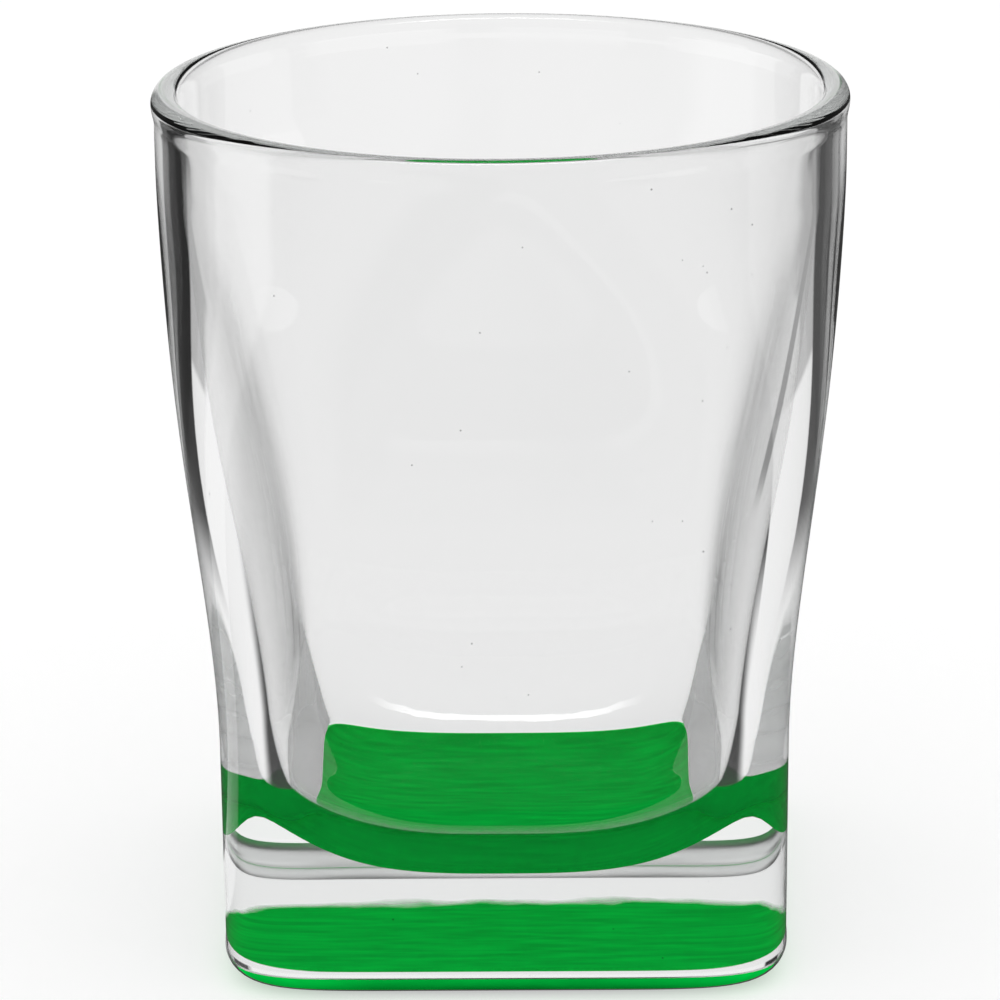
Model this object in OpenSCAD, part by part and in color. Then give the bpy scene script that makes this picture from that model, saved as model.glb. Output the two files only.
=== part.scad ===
// Whisky tumbler: clear pressed glass, round at the rim and rounded-square at its heavy base,
// with a green lacquer coat under the base that wraps a little way round the heel.
// Millimetres, +Z up, origin at the centre of the face that it rests on.

/* [Rim] */
// Outside diameter over the rim bead
rim_d = 80; // [70:0.5:92]
// Wall thickness just below the bead
rim_wall = 3; // [2:0.1:4]
// How far the fire-polished bead stands out past the wall
bead_proud = 0.3; // [0.1:0.05:0.6]
// Height over which the bead swells out of the wall
bead_h = 2.2; // [1:0.1:4]

/* [Body] */
// Overall height, coat included
height = 99.8; // [85:0.2:120]
// Height at which the sides begin to flare out
flare_from = 26.5; // [10:0.5:35]
// Length under the rim that is no longer flared
rim_straight = 8.5; // [1:0.5:25]
// Distance under the rim at which the plan has become round
round_below_rim = 10; // [5:1:40]

/* [Base] */
// Width of the base across its flat faces, at the floor
base_w = 65.6; // [56:0.2:72]
// Draft angle of the lower sides, in degrees
draft = 0.1; // [0:0.1:2]
// Squareness of the base plan: the exponent of a superellipse, where 2 is a circle
base_squareness = 7.5; // [3:0.5:10]
// Radius of the heel, where the sides turn under
heel_r = 3.3; // [1:0.1:5]
// Thickness of the glass under the middle of the cavity
base_thick = 10.45; // [8:0.05:18]

/* [Cavity] */
// Wall thickness of a flat side just above the cavity floor
base_wall = 4.6; // [3:0.1:6]
// Squareness of the cavity's plan at its floor, which is rounder than the outside
floor_squareness = 3; // [2.5:0.5:8]
// Height above the floor at which the cavity is as square as the outside
corner_rise = 22; // [12:1:40]
// Radius between the cavity floor and its walls
floor_fillet = 14; // [4:0.5:16]
// How much lower the cavity floor is in the middle than at its edge
floor_dish = 0.6; // [0.2:0.1:2]

/* [Coat] */
// Thickness of the lacquer film
coat_t = 0.2; // [0.1:0.05:0.4]
// Angle round the heel that the lacquer reaches, from the resting face
coat_wrap = 75; // [20:1:80]

/* [Hidden] */

// Points round each ring, and rings along each stretch of the profile
ring_points = 72;
wrap_rings = 3;
heel_rings = 2;
side_rings = 16;
bead_rings = 4;
lip_rings = 8;
fillet_rings = 8;
dish_rings = 3;

// Heights and radii of the rim
lip_r = (rim_wall + bead_proud) / 2;
lip_z = height - lip_r;
bead_z = lip_z - bead_h;
wall_r = rim_d / 2 - bead_proud;
flare_to = height - rim_straight;
round_at = height - round_below_rim;

// Heel: the arc that the glass and its coat share
heel_z = coat_t + heel_r;

// Cavity floor
dish_edge_z = coat_t + base_thick + floor_dish;

// 0 below 0, 1 above 1, and a smooth step between
function ease(u) = let (v = min(max(u, 0), 1)) v * v * (3 - 2 * v);

// Half-width of a flat side at a height, without the bead
function foot_half(z) = base_w / 2 + min(z, flare_from) * tan(draft);
function side_half(z) =
    foot_half(z) + (wall_r - foot_half(z)) * ease((z - flare_from) / (flare_to - flare_from));

// The same with the bead
function outer_half(z) = side_half(z) + bead_proud * ease((z - bead_z) / bead_h);

// Exponent of the plan at a height: the same up the lower sides, then down to 2, which is round
function outer_plan(z) =
    2 + (base_squareness - 2) * (1 - ease((z - flare_from) / (round_at - flare_from)));

// The cavity's plan is rounder at its floor and joins the outer plan higher up
function cavity_plan(z) =
    floor_squareness + (outer_plan(z) - floor_squareness) * ease((z - dish_edge_z) / corner_rise);

// Wall thickness at a height, and half-width of the cavity
function wall(z) =
    rim_wall + (base_wall - rim_wall) * (1 - ease((z - dish_edge_z) / (flare_to - dish_edge_z)));
function cavity_half(z) = side_half(z) - wall(z);

// Where the floor fillet starts on the wall, and where it runs into the dished floor
fillet_reach = cavity_half(dish_edge_z + floor_fillet) - floor_fillet;
dish_slope = atan(2 * floor_dish / fillet_reach);
fillet_z = dish_edge_z + floor_fillet * cos(dish_slope);
fillet_half = cavity_half(fillet_z) - floor_fillet;
dish_half = fillet_half + floor_fillet * sin(dish_slope);

// A ring of the loft: half-width, height and exponent of its plan
function ring(half, z, n) = [half, z, n];

// Heel ring at an angle from the resting face, a distance outside the glass
function heel_ring(angle, proud) =
    ring(
        outer_half(heel_z) - heel_r + (heel_r + proud) * sin(angle),
        heel_z - (heel_r + proud) * cos(angle),
        outer_plan(heel_z)
    );

// Rings of each stretch, from the resting face up the outside, over the lip and down the inside
function wrap_stretch(proud) = [for (i = [0 : wrap_rings]) heel_ring(coat_wrap * i / wrap_rings, proud)];
heel_stretch =
    [for (i = [1 : heel_rings]) heel_ring(coat_wrap + (90 - coat_wrap) * i / heel_rings, 0)];
side_stretch =
    [for (i = [1 : side_rings])
        let (z = heel_z + (bead_z - heel_z) * i / side_rings)
        ring(outer_half(z), z, outer_plan(z))];
bead_stretch =
    [for (i = [1 : bead_rings - 1])
        let (z = bead_z + bead_h * i / bead_rings)
        ring(outer_half(z), z, outer_plan(z))];
lip_stretch =
    [for (i = [0 : lip_rings])
        let (angle = 180 * i / lip_rings)
        ring(rim_d / 2 - lip_r + lip_r * cos(angle), lip_z + lip_r * sin(angle), outer_plan(lip_z))];
wall_stretch =
    [for (i = [1 : side_rings])
        let (z = lip_z + (fillet_z - lip_z) * i / side_rings)
        ring(cavity_half(z), z, cavity_plan(z))];
fillet_stretch =
    [for (i = [1 : fillet_rings])
        let (angle = (90 - dish_slope) * i / fillet_rings, z = fillet_z - floor_fillet * sin(angle))
        ring(fillet_half + floor_fillet * cos(angle), z, cavity_plan(z))];
dish_stretch =
    [for (i = [1 : dish_rings])
        let (share = 1 - i / (dish_rings + 1))
        ring(
            dish_half * share,
            dish_edge_z - floor_dish * (1 - share * share),
            floor_squareness
        )];

// Distance from the axis to the plan's outline, and a ring's points
function plan_r(half, n, turn) =
    half / pow(pow(abs(cos(turn)), n) + pow(abs(sin(turn)), n), 1 / n);
function ring_outline(r) =
    [for (i = [0 : ring_points - 1])
        let (turn = 360 * i / ring_points, reach = plan_r(r[0], r[2], turn))
        [reach * cos(turn), reach * sin(turn), r[1]]];

// One closed skin over the rings, closed by a flat fan on the first ring and on the last
module loft(rings) {
    last = (len(rings) - 1) * ring_points;
    first_hub = last + ring_points;
    last_hub = first_hub + 1;
    function next(i) = (i + 1) % ring_points;
    polyhedron(
        points = concat(
            [for (r = rings) each ring_outline(r)],
            [[0, 0, rings[0][1]], [0, 0, rings[len(rings) - 1][1]]]
        ),
        faces = concat(
            [for (i = [0 : ring_points - 1]) [i, next(i), first_hub]],
            [for (k = [0 : len(rings) - 2], i = [0 : ring_points - 1])
                let (a = k * ring_points + i, b = k * ring_points + next(i))
                each [[a, a + ring_points, b], [b, a + ring_points, b + ring_points]]],
            [for (i = [0 : ring_points - 1]) [last + next(i), last + i, last_hub]]
        ),
        convexity = 4
    );
}

// The tumbler itself, one piece of pressed glass
module glass_body() {
    color([0.93, 0.95, 0.95, 0.4])
        loft(concat(
            wrap_stretch(0), heel_stretch, side_stretch, bead_stretch,
            lip_stretch, wall_stretch, fillet_stretch, dish_stretch
        ));
}

// The lacquer film: its outer skin, then the glass's own heel and underside as its inner skin
module base_coat() {
    inner = wrap_stretch(0);
    color([0, 0.6, 0.2])
        loft(concat(
            wrap_stretch(coat_t),
            [for (i = [wrap_rings : -1 : 0]) inner[i]]
        ));
}

glass_body();
base_coat();
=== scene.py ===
import math

import bpy
import numpy as np
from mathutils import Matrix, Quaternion, Vector


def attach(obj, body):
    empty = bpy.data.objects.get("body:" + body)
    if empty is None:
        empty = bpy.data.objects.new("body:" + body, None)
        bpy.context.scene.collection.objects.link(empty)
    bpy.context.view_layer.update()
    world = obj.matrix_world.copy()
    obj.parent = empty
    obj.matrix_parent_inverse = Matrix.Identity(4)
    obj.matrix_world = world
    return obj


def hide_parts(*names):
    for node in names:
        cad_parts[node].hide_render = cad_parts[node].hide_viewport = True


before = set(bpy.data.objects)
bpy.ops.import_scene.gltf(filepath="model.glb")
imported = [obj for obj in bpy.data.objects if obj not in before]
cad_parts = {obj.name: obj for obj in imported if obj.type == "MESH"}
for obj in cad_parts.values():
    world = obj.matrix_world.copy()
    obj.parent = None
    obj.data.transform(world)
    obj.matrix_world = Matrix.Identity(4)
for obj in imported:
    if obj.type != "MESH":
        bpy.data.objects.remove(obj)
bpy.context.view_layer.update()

# The tumbler's sizes, in millimetres and degrees, as in the CAD model
MM = 0.001
RIM_D = 80
RIM_WALL = 3
BEAD_PROUD = 0.3
BEAD_H = 2.2
HEIGHT = 99.8
FLARE_FROM = 26.5
RIM_STRAIGHT = 8.5
ROUND_BELOW_RIM = 10
BASE_W = 65.6
DRAFT = 0.1
BASE_SQUARENESS = 7.5
HEEL_R = 3.3
BASE_THICK = 10.45
BASE_WALL = 4.6
FLOOR_SQUARENESS = 3
CORNER_RISE = 22
FLOOR_FILLET = 14
FLOOR_DISH = 0.6
COAT_T = 0.2
COAT_WRAP = 75
# The lacquer wets the glass, so its upper skin lies this far inside the glass's own skin
BOND = 0.03
# From this angle round the heel, a film of air stands between the glass and the lacquer
AIR_FILM_FROM = 2

# Steps of the spin, and points along each stretch of the profile
SPIN_STEPS = 240
UNDER_POINTS = 12
# Share of the resting face that its last ring but one leaves quite flat
FLAT_SHARE = 0.995
HEEL_POINTS = 16
SIDE_POINTS = 84
BEAD_POINTS = 12
LIP_POINTS = 24
FILLET_POINTS = 30
DISH_POINTS = 20
WRAP_POINTS = 14
# Points closer than this, in millimetres, become one, and edges of the coat past this angle stay crisp
MERGE_WITHIN = 0.001
COAT_CREASE = 40

LIP_R = (RIM_WALL + BEAD_PROUD) / 2
LIP_Z = HEIGHT - LIP_R
BEAD_Z = LIP_Z - BEAD_H
WALL_R = RIM_D / 2 - BEAD_PROUD
FLARE_TO = HEIGHT - RIM_STRAIGHT
ROUND_AT = HEIGHT - ROUND_BELOW_RIM
HEEL_Z = COAT_T + HEEL_R
DISH_EDGE_Z = COAT_T + BASE_THICK + FLOOR_DISH


def ease(u):
    v = min(max(u, 0), 1)
    return v * v * (3 - 2 * v)


def foot_half(z):
    return BASE_W / 2 + min(z, FLARE_FROM) * math.tan(math.radians(DRAFT))


def side_half(z):
    return foot_half(z) + (WALL_R - foot_half(z)) * ease((z - FLARE_FROM) / (FLARE_TO - FLARE_FROM))


def outer_half(z):
    return side_half(z) + BEAD_PROUD * ease((z - BEAD_Z) / BEAD_H)


def outer_plan(z):
    """Squareness of the plan at a height: the exponent of a superellipse, 2 where it is round."""
    return 2 + (BASE_SQUARENESS - 2) * (1 - ease((z - FLARE_FROM) / (ROUND_AT - FLARE_FROM)))


def cavity_plan(z):
    return FLOOR_SQUARENESS + (outer_plan(z) - FLOOR_SQUARENESS) * ease((z - DISH_EDGE_Z) / CORNER_RISE)


def cavity_half(z):
    thin = ease((z - DISH_EDGE_Z) / (FLARE_TO - DISH_EDGE_Z))
    return side_half(z) - (RIM_WALL + (BASE_WALL - RIM_WALL) * (1 - thin))


def heel_point(angle, proud):
    turn = math.radians(angle)
    half = outer_half(HEEL_Z) - HEEL_R + (HEEL_R + proud) * math.sin(turn)
    return half, HEEL_Z - (HEEL_R + proud) * math.cos(turn), BASE_SQUARENESS


def steps(first, last, count):
    """Evenly spaced values after first, up to last."""
    return [first + (last - first) * i / count for i in range(1, count + 1)]


def underside(proud):
    """The resting face from its middle out to the heel."""
    half, z, square = heel_point(0, proud)
    return [(half * share, z, square) for share in [0] + steps(0, FLAT_SHARE, UNDER_POINTS) + [1]]


def glass_profile():
    """Half-width, height and squareness of each ring, from the resting face round to the cavity floor."""
    rings = underside(0)
    rings += [heel_point(angle, 0) for angle in steps(0, 90, HEEL_POINTS)]
    rings += [(outer_half(z), z, outer_plan(z)) for z in steps(HEEL_Z, BEAD_Z, SIDE_POINTS)]
    rings += [(outer_half(z), z, 2) for z in steps(BEAD_Z, LIP_Z, BEAD_POINTS)]
    for angle in steps(0, math.pi, LIP_POINTS):
        rings.append((RIM_D / 2 - LIP_R + LIP_R * math.cos(angle), LIP_Z + LIP_R * math.sin(angle), 2))
    slope = math.atan(2 * FLOOR_DISH / (cavity_half(DISH_EDGE_Z + FLOOR_FILLET) - FLOOR_FILLET))
    fillet_z = DISH_EDGE_Z + FLOOR_FILLET * math.cos(slope)
    fillet_half = cavity_half(fillet_z) - FLOOR_FILLET
    rings += [(cavity_half(z), z, cavity_plan(z)) for z in steps(LIP_Z, fillet_z, SIDE_POINTS)]
    for angle in steps(0, math.pi / 2 - slope, FILLET_POINTS):
        z = fillet_z - FLOOR_FILLET * math.sin(angle)
        rings.append((fillet_half + FLOOR_FILLET * math.cos(angle), z, cavity_plan(z)))
    dish_half = fillet_half + FLOOR_FILLET * math.sin(slope)
    for share in steps(1, 0, DISH_POINTS):
        z = DISH_EDGE_Z - FLOOR_DISH * (1 - share * share)
        rings.append((dish_half * share, z, 2 + (FLOOR_SQUARENESS - 2) * share * share))
    return rings


def coat_profile():
    """The lacquer's outer skin from the middle out and round the heel, then its upper skin back."""
    rings = underside(COAT_T)
    rings += [heel_point(angle, COAT_T) for angle in steps(0, COAT_WRAP, WRAP_POINTS)]
    rings += [heel_point(angle, -BOND) for angle in [COAT_WRAP] + steps(COAT_WRAP, 0, WRAP_POINTS)]
    rings += underside(-BOND)[-2::-1]
    return rings


def spun(name, rings):
    """Draws the profile as a chain of points, spins it round +Z and presses each ring to its plan."""
    bpy.ops.object.select_all(action="DESELECT")
    bpy.ops.mesh.primitive_plane_add(size=MM)
    piece = bpy.context.object
    piece.name = name
    piece.data.name = name
    bpy.ops.object.mode_set(mode="EDIT")
    bpy.ops.mesh.merge(type="CENTER")
    places = [Vector((half * MM, 0, z * MM)) for half, z, square in rings]
    bpy.ops.transform.translate(value=places[0])
    for here, there in zip(places, places[1:]):
        bpy.ops.mesh.extrude_region_move(TRANSFORM_OT_translate={"value": there - here})
    bpy.ops.object.mode_set(mode="OBJECT")
    plan = piece.data.attributes.new("plan", "FLOAT", "POINT")
    plan.data.foreach_set("value", [square for half, z, square in rings])
    bpy.ops.object.mode_set(mode="EDIT")
    bpy.ops.mesh.select_all(action="SELECT")
    bpy.ops.mesh.spin(steps=SPIN_STEPS, angle=2 * math.pi, center=(0, 0, 0), axis=(0, 0, 1))
    bpy.ops.mesh.select_all(action="SELECT")
    bpy.ops.mesh.remove_doubles(threshold=MERGE_WITHIN * MM)
    bpy.ops.mesh.normals_make_consistent(inside=False)
    bpy.ops.object.mode_set(mode="OBJECT")
    count = len(piece.data.vertices)
    place = np.zeros(count * 3)
    square = np.zeros(count)
    piece.data.vertices.foreach_get("co", place)
    piece.data.attributes["plan"].data.foreach_get("value", square)
    place = place.reshape(-1, 3)
    turn = np.arctan2(place[:, 1], place[:, 0])
    reach = (np.abs(np.cos(turn)) ** square + np.abs(np.sin(turn)) ** square) ** (-1 / square)
    place[:, :2] *= reach[:, None]
    piece.data.vertices.foreach_set("co", place.ravel())
    piece.data.attributes.remove(piece.data.attributes["plan"])
    piece.data.update()
    return piece


def linear(hex_colour):
    """An sRGB hex colour as the linear RGBA that the sockets take."""
    parts = [int(hex_colour[i : i + 2], 16) / 255 for i in (1, 3, 5)]
    return [p / 12.92 if p <= 0.04045 else ((p + 0.055) / 1.055) ** 2.4 for p in parts] + [1]


def add(tree, kind, inputs=None, out=0, **settings):
    """Adds a node and gives one of its outputs; an input is a value, or another node's output to link."""
    node = tree.nodes.new("ShaderNode" + kind)
    for key, value in settings.items():
        setattr(node, key, value)
    for key, value in (inputs or {}).items():
        if isinstance(value, bpy.types.NodeSocket):
            tree.links.new(value, node.inputs[key])
        else:
            node.inputs[key].default_value = value
    return node.outputs[out] if node.outputs else node


def blank(name):
    """A material with an empty node tree."""
    material = bpy.data.materials.new(name)
    material.use_nodes = True
    material.node_tree.nodes.clear()
    return material, material.node_tree


# The glass: waves left by pressing, and cells that hold a speck each, in millimetres
GLASS_IOR = 1.52
GLASS_WAVE = 14
WAVE_HEIGHT = 0.1
WAVE_SHARE = 0.03
SPECK_CELL = 5
# A speck's core and rim, as shares of its cell
SPECK_CORE = 0.012
SPECK_RIM = 0.03
SPECK_COLOUR = "#6a6a6a"
GLASS_DEPTH_COLOUR = "#e6f2ec"
GLASS_DEPTH_DENSITY = 1.5


def soda_lime_glass():
    """Pressed and fire-polished: clear, smooth, faintly wavy, grey-green only where it is thick."""
    material, tree = blank("soda_lime_glass")
    coords = add(tree, "TexCoord", out="Object")
    wave = add(tree, "TexNoise", {"Vector": coords, "Scale": 1 / (GLASS_WAVE * MM), "Detail": 1}, out="Fac")
    bump = add(tree, "Bump", {"Height": wave, "Strength": WAVE_SHARE, "Distance": WAVE_HEIGHT * MM})
    cell = add(tree, "TexVoronoi", {"Vector": coords, "Scale": 1 / (SPECK_CELL * MM)}, out="Distance")
    speck = add(tree, "MapRange", {0: cell, 1: SPECK_CORE, 2: SPECK_RIM})
    clear = add(tree, "MixRGB", {0: speck, 1: linear(SPECK_COLOUR), 2: linear("#ffffff")})
    body = add(tree, "BsdfPrincipled", {
        "Base Color": clear, "Roughness": 0, "IOR": GLASS_IOR, "Transmission Weight": 1, "Normal": bump,
    })
    depth = add(tree, "VolumeAbsorption", {
        "Color": linear(GLASS_DEPTH_COLOUR), "Density": GLASS_DEPTH_DENSITY,
    })
    add(tree, "OutputMaterial", {"Surface": body, "Volume": depth})
    return material


# The lacquer: its two greens with their places on the ramp, and a painted shade: the darker green that looks
# turned in the glass tend to
LACQUER_TONES = ((0.35, "#00ca46"), (0.65, "#00e450"))
PAINTED_ECHO_SHADE = "#005522"
PAINTED_SHADE_STEP = 0.35
PAINTED_SHADE_MOST = 0.45
# Walls of glass past which a look is deep, the turns that it then counts for, and the turns after which a
# look at the lacquer is painted white, a painted light for the light that runs round inside the glass
DEEP_WALLS = 2.5
DEEP_TURNS = 2
PAINTED_WHITE_TURNS = 2.5
# Its streaks, drawn out along X, and the ripple of its bond with the glass, in millimetres
STREAK = 9
STREAK_STRETCH = 5
BOND_RIPPLE = 11
RIPPLE_SHARE = 0.0024
# Layer Weight's Facing at which the bond begins to mirror, and mirrors wholly
MIRROR_FROM = 0.7437
MIRROR_FULL = 0.7445
LACQUER_ROUGHNESS = 0.4
FILM_ROUGHNESS = 0.3
# A look at the film that comes from across the base, or from a turn further off than this, in millimetres
FILM_ACROSS = 30
FILM_NEAR = 12


def pigment_and_painted_light(tree, echo):
    """Streaky green, painted darker with each turn in the glass as painted shade; a look that turns deep in
    the glass, or several times elsewhere, is painted white as painted light.
    """
    coords = add(tree, "TexCoord", out="Object")
    along = add(tree, "Mapping", {"Vector": coords, "Scale": (1, STREAK_STRETCH, 1)})
    streak = add(tree, "TexNoise", {"Vector": along, "Scale": 1 / (STREAK * MM), "Detail": 4}, out="Fac")
    tone = add(tree, "ValToRGB", {"Fac": streak}, out="Color")
    for point, (place, colour) in zip(tone.node.color_ramp.elements, LACQUER_TONES):
        point.position = place
        point.color = linear(colour)
    walls = add(tree, "LightPath", out="Transmission Depth")
    deep = add(tree, "Math", {0: walls, 1: DEEP_WALLS}, operation="GREATER_THAN")
    turns = add(tree, "Math", {0: deep, 1: DEEP_TURNS, 2: echo}, operation="MULTIPLY_ADD")
    # Painted light: past these turns the lacquer is painted white
    lost = add(tree, "Math", {0: turns, 1: PAINTED_WHITE_TURNS}, operation="GREATER_THAN")
    # Painted shade: each turn in the glass paints the green darker, up to a limit
    dim = add(tree, "Math", {0: echo, 1: PAINTED_SHADE_STEP}, operation="MULTIPLY", use_clamp=True)
    dim = add(tree, "Math", {0: dim, 1: PAINTED_SHADE_MOST}, operation="MINIMUM")
    green = add(tree, "MixRGB", {0: dim, 1: tone, 2: linear(PAINTED_ECHO_SHADE)})
    return add(tree, "MixRGB", {0: lost, 1: green, 2: linear("#ffffff")})


def lacquer_paint(tree, colour):
    """Matt paint, since the glass in front of it gives the gloss."""
    return add(tree, "BsdfPrincipled", {
        "Base Color": colour, "Roughness": LACQUER_ROUGHNESS, "Specular IOR Level": 0,
    })


def green_lacquer():
    """Sprayed acrylic, opaque; bonded under the glass it mirrors once, at a very flat angle."""
    material, tree = blank("green_lacquer")
    echo = add(tree, "LightPath", out="Glossy Depth")
    paint = lacquer_paint(tree, pigment_and_painted_light(tree, echo))
    mirror = add(tree, "BsdfGlossy", {"Color": linear("#ffffff"), "Roughness": 0})
    coords = add(tree, "TexCoord", out="Object")
    ripple = {"Vector": coords, "Scale": 1 / (BOND_RIPPLE * MM), "Detail": 3}
    ripple = add(tree, "TexNoise", ripple, out="Fac")
    facing = add(tree, "LayerWeight", {"Blend": 0.5}, out="Facing")
    facing = add(tree, "Math", {0: ripple, 1: RIPPLE_SHARE, 2: facing}, operation="MULTIPLY_ADD")
    flat = add(tree, "MapRange", {0: facing, 1: MIRROR_FROM, 2: MIRROR_FULL})
    first = add(tree, "Math", {0: echo, 1: 0.5}, operation="LESS_THAN")
    flat = add(tree, "Math", {0: flat, 1: first}, operation="MULTIPLY")
    skin = add(tree, "MixShader", {0: flat, 1: paint, 2: mirror})
    add(tree, "OutputMaterial", {"Surface": skin})
    return material


def air_film():
    """Where the lacquer stands a hair off the heel, the air is silvery: a rough mirror, and white matt paint
    as a painted reflection; echoes and deep looks show green.
    """
    material, tree = blank("air_film")
    path = add(tree, "LightPath").node.outputs
    echo = path["Glossy Depth"]
    off = add(tree, "Math", {0: path["Ray Length"], 1: FILM_NEAR * MM}, operation="GREATER_THAN")
    green = add(tree, "Math", {0: echo, 1: off}, operation="MULTIPLY")
    twice = add(tree, "Math", {0: echo, 1: 1}, operation="SUBTRACT")
    green = add(tree, "Math", {0: green, 1: twice}, operation="MAXIMUM")
    deep = add(tree, "Math", {0: path["Transmission Depth"], 1: DEEP_WALLS}, operation="GREATER_THAN")
    green = add(tree, "Math", {0: green, 1: deep}, operation="MAXIMUM")
    green = add(tree, "Math", {0: green, 1: 0.5}, operation="GREATER_THAN")
    paint = lacquer_paint(tree, pigment_and_painted_light(tree, echo))
    # Painted reflection: white matt paint stands in for the silvery film's sheen on short straight looks
    painted_reflection_white = lacquer_paint(tree, linear("#ffffff"))
    mirror = add(tree, "BsdfGlossy", {"Color": linear("#ffffff"), "Roughness": FILM_ROUGHNESS})
    across = add(tree, "Math", {0: path["Ray Length"], 1: FILM_ACROSS * MM}, operation="GREATER_THAN")
    across = add(tree, "Math", {0: across, 1: echo}, operation="MAXIMUM")
    bright = add(tree, "MixShader", {0: across, 1: painted_reflection_white, 2: mirror})
    film = add(tree, "MixShader", {0: green, 1: bright, 2: paint})
    add(tree, "OutputMaterial", {"Surface": film})
    return material


# The studio, in degrees from +X: white backdrops behind the object as it is seen from three sides,
# and dark cards beside them that draw the glass's edges, each with its half-width and its level
BACKDROPS = (93, 180, 315)
BACKDROP_HALF = 24
BACKDROP_SOFT = 2
BACKDROP_TOP = (18, 21)
MIRRORED_HALF = 13
CARDS = ((130, 12, 0.02), (53, 13, 0.08), (217, 8, 0.05), (278, 8, 0.05), (352, 8, 0.05))
CORNER_CARD = (59, 3.5, 0.3)
CARD_SOFT = 1
# Levels of the backdrops, the rest of the room, its mirrored image, the even light, the ceiling and the lamp
WHITE = 0.94
ROOM = 0.55
SHADE = 0.06
LIGHT = 1.05
CEILING = 0.85
LAMP = 6
# The lamp is a long strip overhead, in degrees from its middle, with an uneven edge
LAMP_SIDE = (2.5, 4)
LAMP_END = (8, 27)
LAMP_WAVES = 14
LAMP_WOBBLE = 0.12
# The floor, in metres from its middle: where its even light is painted dark under the glass as a painted
# shadow, where each card begins, and where the white ends
FLOOR_RADIUS = 3
FLOOR_SIDES = 96
PAINTED_CONTACT_SHADOW = (0.03, 0.06)
CARDS_FROM = (0.34, 0.42)
EDGE_CARDS_FROM = (0.09, 0.13)
CORNER_CARD_FROM = (0.125, 0.15)
WHITE_TO = (0.24, 0.26)
# Where the floor in front, which is dark in the glass's edges, fades out: its level direction's Y
FRONT_FADE = (-0.3, 0)
# Share of its level that a deep look sees of the floor, and the floor's own glow and colour
DEEP_SHARE = 0.35
FLOOR_GLOW = 0.5
FLOOR_COLOUR = "#bbbbbb"
SMOOTH = {"interpolation_type": "SMOOTHSTEP"}


def cosine(angle):
    return math.cos(math.radians(angle))


def sine(angle):
    return math.sin(math.radians(angle))


def sector(tree, level, angle, half, soft):
    """1 within an angle of a level direction, 0 outside it."""
    middle = (cosine(angle), sine(angle), 0)
    near = add(tree, "VectorMath", {0: level, 1: middle}, out="Value", operation="DOT_PRODUCT")
    return add(tree, "MapRange", {0: near, 1: cosine(half + soft), 2: cosine(half - soft)}, **SMOOTH)


def round_about(tree, point):
    """The level direction of a point or a ray."""
    flat = add(tree, "VectorMath", {0: point, 1: (1, 1, 0)}, operation="MULTIPLY")
    return add(tree, "VectorMath", {0: flat}, operation="NORMALIZE")


def surroundings(tree, level, room, cards):
    """Backdrops and cards round about, the cards as strong as the share given."""
    tone = room
    for angle in BACKDROPS:
        share = sector(tree, level, angle, BACKDROP_HALF, BACKDROP_SOFT)
        tone = add(tree, "Mix", {0: share, 2: tone, 3: WHITE})
    for angle, half, dark in CARDS:
        share = sector(tree, level, angle, half, CARD_SOFT)
        share = add(tree, "Math", {0: share, 1: cards}, operation="MULTIPLY")
        tone = add(tree, "Mix", {0: share, 2: tone, 3: dark})
    return tone


def mirrored_room(tree, level):
    """The room as the glass mirrors it: the backdrops' middles, and dim elsewhere."""
    tone = SHADE
    for angle in BACKDROPS[:2]:
        share = sector(tree, level, angle, MIRRORED_HALF, BACKDROP_SOFT)
        tone = add(tree, "Mix", {0: share, 2: tone, 3: WHITE})
    return tone


def as_seen(tree, path, through, mirrored, lit):
    """What the glass shows through itself and in its skin; all other light is even."""
    shown = add(tree, "Mix", {0: path["Is Transmission Ray"], 2: mirrored, 3: through})
    clear = add(tree, "Math", {0: path["Diffuse Depth"], 1: 0.5}, operation="LESS_THAN")
    clear = add(tree, "Math", {0: clear, 1: path["Is Glossy Ray"]}, operation="MULTIPLY")
    return add(tree, "Mix", {0: clear, 2: lit, 3: shown})


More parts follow.
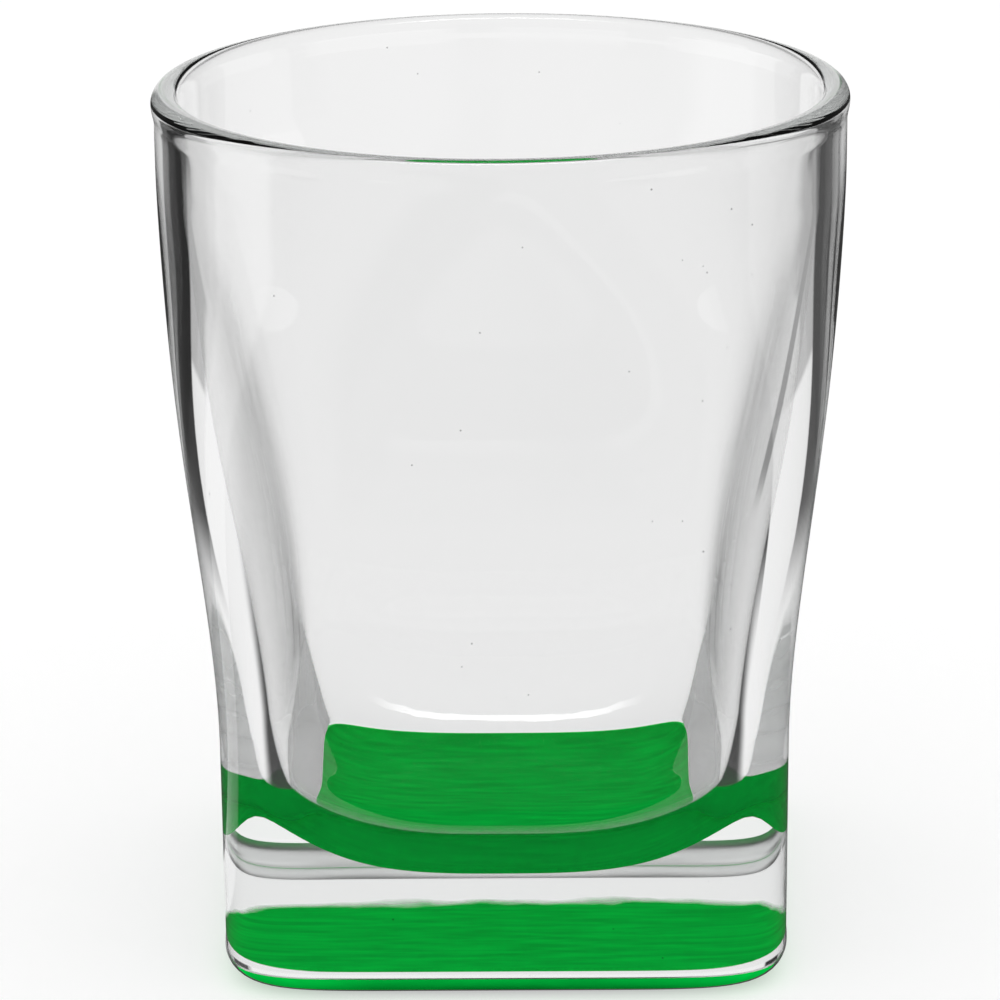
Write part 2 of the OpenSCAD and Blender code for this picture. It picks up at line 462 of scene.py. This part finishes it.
def studio():
    """The world: backdrops and cards low down, soft light above, and a strip lamp that only glints show."""
    world = bpy.data.worlds.new("studio")
    bpy.context.scene.world = world
    world.use_nodes = True
    tree = world.node_tree
    tree.nodes.clear()
    path = add(tree, "LightPath").node.outputs
    ray = add(tree, "TexCoord", out="Generated")
    aim = add(tree, "SeparateXYZ", {0: ray}).node.outputs
    level = round_about(tree, ray)
    low = {0: aim["Z"], 1: sine(BACKDROP_TOP[0]), 2: sine(BACKDROP_TOP[1]), 3: 1, 4: 0}
    low = add(tree, "MapRange", low, **SMOOTH)
    through = add(tree, "Mix", {0: low, 2: CEILING, 3: surroundings(tree, level, ROOM, 1)})
    up = add(tree, "Math", {0: aim["Z"], 1: 0}, operation="GREATER_THAN")
    turned = add(tree, "Math", {0: path["Glossy Depth"], 1: 0.5}, operation="GREATER_THAN")
    deep = add(tree, "Math", {0: path["Transmission Depth"], 1: DEEP_WALLS}, operation="GREATER_THAN")
    # A look that has turned deep in the glass and comes out upwards is lost in the dark
    hidden = add(tree, "Math", {0: turned, 1: deep}, operation="MULTIPLY")
    hidden = add(tree, "Math", {0: hidden, 1: up}, operation="MULTIPLY")
    through = add(tree, "Mix", {0: hidden, 2: through, 3: 0})
    mirrored = add(tree, "Mix", {0: low, 2: SHADE, 3: mirrored_room(tree, level)})
    wobble = add(tree, "TexNoise", {"Vector": ray, "Scale": LAMP_WAVES, "Detail": 2}, out="Fac")
    wobble = add(tree, "Math", {0: wobble, 1: LAMP_WOBBLE, 2: -LAMP_WOBBLE / 2}, operation="MULTIPLY_ADD")
    aside = add(tree, "Math", {0: aim["Y"], 1: wobble}, operation="ADD")
    lamp = add(tree, "Math", {0: path["Glossy Depth"], 1: 1.5}, operation="LESS_THAN")
    lamp = add(tree, "Math", {0: lamp, 1: up}, operation="MULTIPLY")
    for offset, (full, none) in ((aside, LAMP_SIDE), (aim["X"], LAMP_END)):
        offset = add(tree, "Math", {0: offset}, operation="ABSOLUTE")
        share = add(tree, "MapRange", {0: offset, 1: sine(full), 2: sine(none), 3: 1, 4: 0}, **SMOOTH)
        lamp = add(tree, "Math", {0: lamp, 1: share}, operation="MULTIPLY")
    mirrored = add(tree, "Mix", {0: lamp, 2: mirrored, 3: LAMP})
    seen = as_seen(tree, path, through, mirrored, LIGHT)
    strength = add(tree, "Mix", {0: path["Is Camera Ray"], 2: seen, 3: 1})
    sky = add(tree, "Background", {"Color": linear("#ffffff"), "Strength": strength})
    add(tree, "OutputWorld", {"Surface": sky})


def table():
    """A plain white floor; the glass sees the backdrops and cards on it."""
    bpy.ops.object.select_all(action="DESELECT")
    bpy.ops.mesh.primitive_circle_add(vertices=FLOOR_SIDES, radius=FLOOR_RADIUS, fill_type="NGON")
    floor = bpy.context.object
    floor.name = "floor"
    material, tree = blank("white_floor")
    material.cycles.emission_sampling = "NONE"
    path = add(tree, "LightPath").node.outputs
    spot = add(tree, "TexCoord", out="Object")
    level = round_about(tree, spot)
    reach = add(tree, "VectorMath", {0: spot}, out="Value", operation="LENGTH")
    begun = {}
    for span in (CARDS_FROM, EDGE_CARDS_FROM, CORNER_CARD_FROM, WHITE_TO, PAINTED_CONTACT_SHADOW):
        begun[span] = add(tree, "MapRange", {0: reach, 1: span[0], 2: span[1]}, **SMOOTH)
    turned = add(tree, "Math", {0: path["Glossy Depth"], 1: 0.5}, operation="GREATER_THAN")
    deep = add(tree, "Math", {0: path["Transmission Depth"], 1: DEEP_WALLS}, operation="GREATER_THAN")
    # A look that has turned within two walls shows the glass's edges, and one that turned deeper is dimmed
    edge = add(tree, "Math", {0: turned, 1: deep}, operation="SUBTRACT", use_clamp=True)
    deep = add(tree, "Math", {0: turned, 1: deep}, operation="MULTIPLY")
    cards = add(tree, "Mix", {0: edge, 2: begun[CARDS_FROM], 3: begun[EDGE_CARDS_FROM]})
    room = add(tree, "Mix", {0: begun[WHITE_TO], 2: WHITE, 3: ROOM})
    through = surroundings(tree, level, room, cards)
    angle, half, dark = CORNER_CARD
    strip = {0: sector(tree, level, angle, half, CARD_SOFT), 1: begun[CORNER_CARD_FROM]}
    strip = add(tree, "Math", strip, operation="MULTIPLY")
    through = add(tree, "Mix", {0: strip, 2: through, 3: dark})
    front = add(tree, "SeparateXYZ", {0: level}, out="Y")
    front = add(tree, "MapRange", {0: front, 1: FRONT_FADE[0], 2: FRONT_FADE[1], 3: 1, 4: 0}, **SMOOTH)
    front = add(tree, "Math", {0: edge, 1: front}, operation="MULTIPLY")
    through = add(tree, "Mix", {0: front, 2: through, 3: SHADE})
    dimmed = add(tree, "Math", {0: through, 1: DEEP_SHARE}, operation="MULTIPLY")
    through = add(tree, "Mix", {0: deep, 2: through, 3: dimmed})
    # Painted shadow: the floor's even light on the glass fades out near and under it
    lit = add(tree, "Math", {0: begun[PAINTED_CONTACT_SHADOW], 1: LIGHT}, operation="MULTIPLY")
    seen = as_seen(tree, path, through, mirrored_room(tree, level), lit)
    pattern = add(tree, "Emission", {"Strength": seen})
    glow = add(tree, "Emission", {"Strength": FLOOR_GLOW})
    matt = add(tree, "BsdfDiffuse", {"Color": linear(FLOOR_COLOUR)})
    white = add(tree, "AddShader", {0: glow, 1: matt})
    surface = add(tree, "MixShader", {0: path["Is Camera Ray"], 1: pattern, 2: white})
    add(tree, "OutputMaterial", {"Surface": surface})
    floor.data.materials.append(material)


# Where the photograph was taken from: distance from the glass's middle, angles, and the picture's frame
CAMERA_DISTANCE = 520
CAMERA_TILT = 17.81
CAMERA_TURN = 0.63
CAMERA_ROLL = -0.53
PICTURE = 1000
FOCAL_PIXELS = 4411
CENTRE_X = 503.9
CENTRE_Y = 496.1
SENSOR = 36


def camera():
    bpy.ops.object.camera_add()
    eye = bpy.context.object
    tilt = math.radians(CAMERA_TILT)
    turn = math.radians(CAMERA_TURN)
    away = Vector((math.cos(tilt) * math.sin(turn), -math.cos(tilt) * math.cos(turn), math.sin(tilt)))
    eye.location = Vector((0, 0, HEIGHT / 2 * MM)) + away * CAMERA_DISTANCE * MM
    aim = (-away).to_track_quat("-Z", "Y") @ Quaternion((0, 0, 1), math.radians(CAMERA_ROLL))
    eye.rotation_euler = aim.to_euler()
    eye.data.sensor_width = SENSOR
    eye.data.lens = FOCAL_PIXELS / PICTURE * SENSOR
    eye.data.shift_x = -(CENTRE_X / PICTURE - 0.5)
    eye.data.shift_y = CENTRE_Y / PICTURE - 0.5
    eye.data.clip_start = 0.01
    bpy.context.scene.camera = eye


camera()
studio()
table()

glass = spun("tumbler", glass_profile())
bpy.ops.object.shade_smooth()
glass.data.materials.append(soda_lime_glass())
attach(glass, "root")
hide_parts("glass_body")

coat = spun("lacquer_coat", coat_profile())
bpy.ops.object.shade_smooth_by_angle(angle=math.radians(COAT_CREASE))
coat.data.materials.append(green_lacquer())
coat.data.materials.append(air_film())
film_z = (HEEL_Z - (HEEL_R - BOND) * math.cos(math.radians(AIR_FILM_FROM))) * MM
for face in coat.data.polygons:
    if face.center.z > film_z and face.normal.z > 0:
        face.material_index = 1
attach(coat, "root")
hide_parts("base_coat")

scene = bpy.context.scene
scene.view_settings.view_transform = "Standard"
scene.cycles.max_bounces = 32
scene.cycles.glossy_bounces = 20
scene.cycles.transmission_bounces = 16
